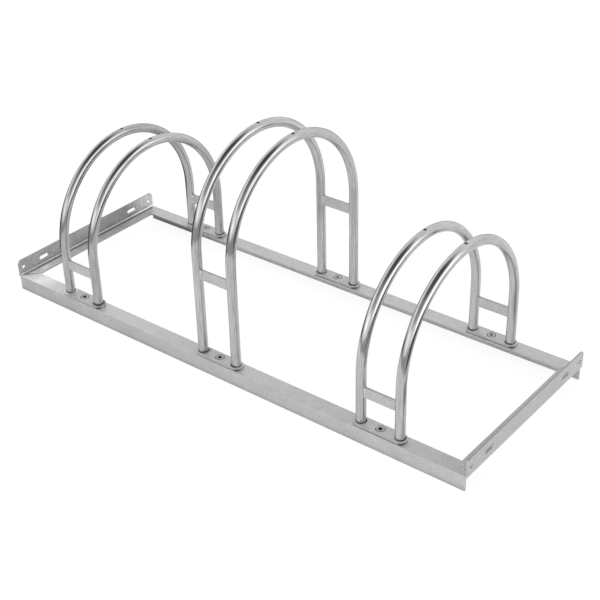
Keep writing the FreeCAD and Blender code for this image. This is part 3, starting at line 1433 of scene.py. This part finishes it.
@dataclass(frozen=True)
class PaperFinish(Finish):
    """White paper with a soft rim, which ends sooner where metal mirrors it.

    Attributes:
        fade: Distances from its middle at which it begins to fade, and is gone.
        sides: Where it ends to the left and the right of its middle, as metal mirrors it.
        side_blurs: Half of the widths over which it ends there.
        whiteness: Brightness of the paper, which takes the shadows.
        glow: Brightness of the light that it gives off itself.
        glow_share: Share of that light in what the camera sees.
        mirrored_share: Share of that light in what metal mirrors.
    """

    fade: Span = (1.40, 1.78)
    sides: Span = (-0.30, 1.03)
    side_blurs: Span = (0.03, 0.08)
    whiteness: float = 0.90
    glow: float = 1.06
    glow_share: float = 0.85
    mirrored_share: float = 0.40

    def surface(self, nodes: NodeTree) -> Socket:
        """Add the paper, its glow and its clear rim.

        Args:
            nodes: The material's node tree.

        Returns:
            The shader.
        """
        place = nodes.object_place()
        across = nodes.split(place)[0]
        ray = nodes.add("LightPath").outputs
        mirrored = nodes.math("MAXIMUM", ray["Is Glossy Ray"], ray["Is Transmission Ray"])
        left, right = map(around, self.sides, self.side_blurs)
        past_left = nodes.remap(across, left, (1.0, 0.0), smooth=True)
        past_right = nodes.remap(across, right, smooth=True)
        past_side = nodes.product(nodes.math("MAXIMUM", past_left, past_right), mirrored)
        past_rim = nodes.remap(nodes.vector_math("LENGTH", place), self.fade, smooth=True)
        past_edge = nodes.math("MAXIMUM", past_rim, past_side)
        share = nodes.math("MAXIMUM", nodes.product(ray["Is Camera Ray"], self.glow_share),
                           nodes.product(mirrored, self.mirrored_share))
        paper = nodes.result("BsdfDiffuse", Color=grey(self.whiteness))
        glow = nodes.result("Emission", Color=grey(1.0), Strength=self.glow)
        lit = nodes.mix_shaders(share, paper, glow)
        return nodes.mix_shaders(past_edge, lit, nodes.result("BsdfTransparent"))


@dataclass(frozen=True)
class Floor:
    """The round paper floor.

    Attributes:
        centre: Its middle.
        radius: Its radius.
        segments: Sides of its outline.
        finish: Its paper.
    """

    centre: Triple = (-0.30, 0.35, 0.0)
    radius: float = 1.80
    segments: int = 96
    finish: PaperFinish = PaperFinish("studio_floor")

    def build(self) -> None:
        """Make the floor, whose rim fades into the white surroundings."""
        shape = bmesh.new()
        bmesh.ops.create_circle(shape, cap_ends=True, segments=self.segments,
                                radius=self.radius)
        floor = linked("studio_floor", shape, self.finish)
        floor.location = self.centre


@dataclass(frozen=True)
class Sector:
    """A range of headings round the rack, 0 to the front and 90 to the right.

    Attributes:
        heading: Its middle.
        half_width: Half of the angle that it spans.
        fade: Half of the angle over which it blends into its neighbours.
    """

    heading: float
    half_width: float
    fade: float

    def share(self, nodes: NodeTree, level: Socket) -> Socket:
        """Return how much of a level direction belongs to the sector.

        Args:
            nodes: The world's node tree.
            level: The direction.

        Returns:
            The share, 0 to 1.
        """
        angle = math.radians(self.heading)
        middle = (math.sin(angle), -math.cos(angle), 0.0)
        inner, outer = around(self.half_width, self.fade)
        edge = (math.cos(math.radians(outer)), math.cos(math.radians(inner)))
        return nodes.remap(nodes.vector_math("DOT_PRODUCT", level, middle), edge, smooth=True)


@dataclass(frozen=True)
class Wall(Sector):
    """A part of the room that metal mirrors.

    Attributes:
        levels: Pairs of a height, as the sine of the elevation, and a brightness.
    """

    levels: tuple[Span, ...]


@dataclass(frozen=True)
class Gap(Sector):
    """The dark beyond an edge of the floor.

    Attributes:
        light: Its brightness.
    """

    light: float


@dataclass(frozen=True)
class Room:
    """The white backdrop, and the pale walls and dim ceiling that metal mirrors.

    Attributes:
        rear: Levels of the room where no other wall lies, as a wall has them.
        walls: The walls, in the order in which they cover each other.
        gaps: The dark below them, in the same order.
        horizon: Heights at which the dark begins, and has fully begun.
    """

    rear: tuple[Span, ...] = (
        (0.00, 1.00), (0.60, 1.05), (0.79, 0.98), (0.85, 0.78), (0.90, 0.40), (0.95, 0.16),
        (1.00, 0.10),
    )
    walls: tuple[Wall, ...] = (
        Wall(-84.0, 32.0, 8.0, (
            (0.00, 0.90), (0.25, 1.20), (0.42, 1.45), (0.64, 1.40), (0.73, 0.80), (0.83, 0.45),
            (0.90, 0.18), (1.00, 0.10),
        )),
        Wall(-48.0, 14.0, 6.0, (
            (0.00, 0.50), (0.16, 0.80), (0.30, 1.35), (0.48, 1.60), (0.58, 1.30), (0.72, 0.60),
            (0.84, 0.35), (0.92, 0.15), (1.00, 0.10),
        )),
        Wall(94.0, 40.0, 7.0, (
            (0.00, 1.00), (0.08, 1.45), (0.16, 2.00), (0.60, 2.05), (0.68, 1.35), (0.77, 0.62),
            (0.84, 0.28), (0.92, 0.13), (1.00, 0.10),
        )),
        Wall(34.0, 22.0, 7.0, (
            (0.00, 0.85), (0.10, 1.15), (0.30, 1.25), (0.44, 1.00), (0.58, 0.60), (0.80, 0.40),
            (0.90, 0.17), (1.00, 0.10),
        )),
        Wall(-10.0, 25.0, 7.0, (
            (0.00, 0.65), (0.06, 1.10), (0.24, 1.75), (0.40, 1.70), (0.52, 0.90), (0.62, 0.48),
            (0.82, 0.34), (0.92, 0.14), (1.00, 0.10),
        )),
    )
    gaps: tuple[Gap, ...] = (
        Gap(2.0, 74.0, 14.0, 0.50),
        Gap(98.0, 22.0, 12.0, 0.07),
        Gap(-112.0, 52.0, 12.0, 0.03),
    )
    horizon: Span = (0.05, -0.01)

    def build(self) -> None:
        """Make the world, white to the camera and a room to everything else."""
        world = bpy.data.worlds.new("studio")
        world.use_nodes = True
        nodes = NodeTree(world.node_tree)
        right, rear, height = nodes.split(nodes.add("TexCoord").outputs["Generated"])
        level = nodes.vector_math("NORMALIZE", nodes.result("CombineXYZ", X=right, Y=rear))
        room = nodes.ramp(height, self.rear)
        for wall in self.walls:
            room = nodes.mix(MixKind.COLOURS, wall.share(nodes, level), room,
                             nodes.ramp(height, wall.levels))
        below = nodes.remap(height, self.horizon, smooth=True)
        for gap in self.gaps:
            share = nodes.product(gap.share(nodes, level), below)
            room = nodes.mix(MixKind.COLOURS, share, room, grey(gap.light))
        camera_ray = nodes.add("LightPath").outputs["Is Camera Ray"]
        seen = nodes.mix(MixKind.COLOURS, camera_ray, room, grey(1.0))
        nodes.add("OutputWorld", Surface=nodes.result("Background", Color=seen, Strength=1.0))
        bpy.context.scene.world = world


@dataclass(frozen=True)
class Softbox:
    """A rectangular lamp that faces a point, lights matt surfaces and isn't mirrored.

    Attributes:
        name: The lamp's name.
        place: Its middle.
        aim: The point that it faces.
        size: Its width and height.
        light: Brightness of its face.
    """

    name: str
    place: Triple
    aim: Triple
    size: Span
    light: float

    def build(self) -> None:
        """Make the lamp."""
        lamp = bpy.data.lights.new(self.name, "AREA")
        lamp.shape = "RECTANGLE"
        lamp.size, lamp.size_y = self.size
        lamp.energy = self.light * math.pi * lamp.size * lamp.size_y
        holder = bpy.data.objects.new(self.name, lamp)
        holder.location = self.place
        direction = Vector(self.aim) - Vector(self.place)
        holder.rotation_euler = direction.to_track_quat("-Z", "Y").to_euler()
        holder.visible_camera = False
        holder.visible_glossy = False
        bpy.context.scene.collection.objects.link(holder)


@dataclass(frozen=True)
class PhotoCamera:
    """The camera at the photograph's viewing angle.

    Attributes:
        place: Where it stands.
        right: The picture's direction to the right.
        up: The picture's upward direction.
        picture_width: Width of the picture inside it, in millimetres.
        focal_length: Its focal length, in millimetres.
    """

    place: Triple = (1.26733, -1.49922, 1.26682)
    right: Triple = (0.783349, 0.621193, -0.021984)
    up: Triple = (-0.309462, 0.420428, 0.852921)
    picture_width: float = 36.0
    focal_length: float = 73.977

    def build(self) -> None:
        """Make the camera."""
        data = bpy.data.cameras.new("camera")
        data.sensor_width = self.picture_width
        data.lens = self.focal_length
        camera = bpy.data.objects.new("camera", data)
        right = Vector(self.right).normalized()
        up = Vector(self.up)
        up = (up - right * up.dot(right)).normalized()
        rotation = Matrix((right, up, right.cross(up))).transposed()
        camera.matrix_world = Matrix.Translation(self.place) @ rotation.to_4x4()
        bpy.context.scene.collection.objects.link(camera)
        bpy.context.scene.camera = camera


STUDIO: tuple[PhotoCamera | Floor | Room | Softbox, ...] = (
    PhotoCamera(),
    Floor(),
    Room(),
    Softbox("front_softbox", (0.10, -2.00, 0.94), (0.0, 0.0, 0.25), (1.30, 0.56), 0.8),
    Softbox("top_fill", (-0.4, -0.5, 2.6), (0.0, 0.0, 0.0), (2.4, 2.4), 1.0),
)


def main() -> None:
    """Build the rack's pieces in order and report each, then set up the studio."""
    logging.basicConfig(level=logging.INFO, format="%(message)s")
    for assembly in RACK:
        for piece in assembly.build():
            finish = piece.data.materials[0].name
            log.info("%s: %s, %d faces", piece.name, finish, len(piece.data.polygons))
    for item in STUDIO:
        item.build()
    bpy.context.scene.view_settings.view_transform = "Standard"


if __name__ == "__main__":
    main()
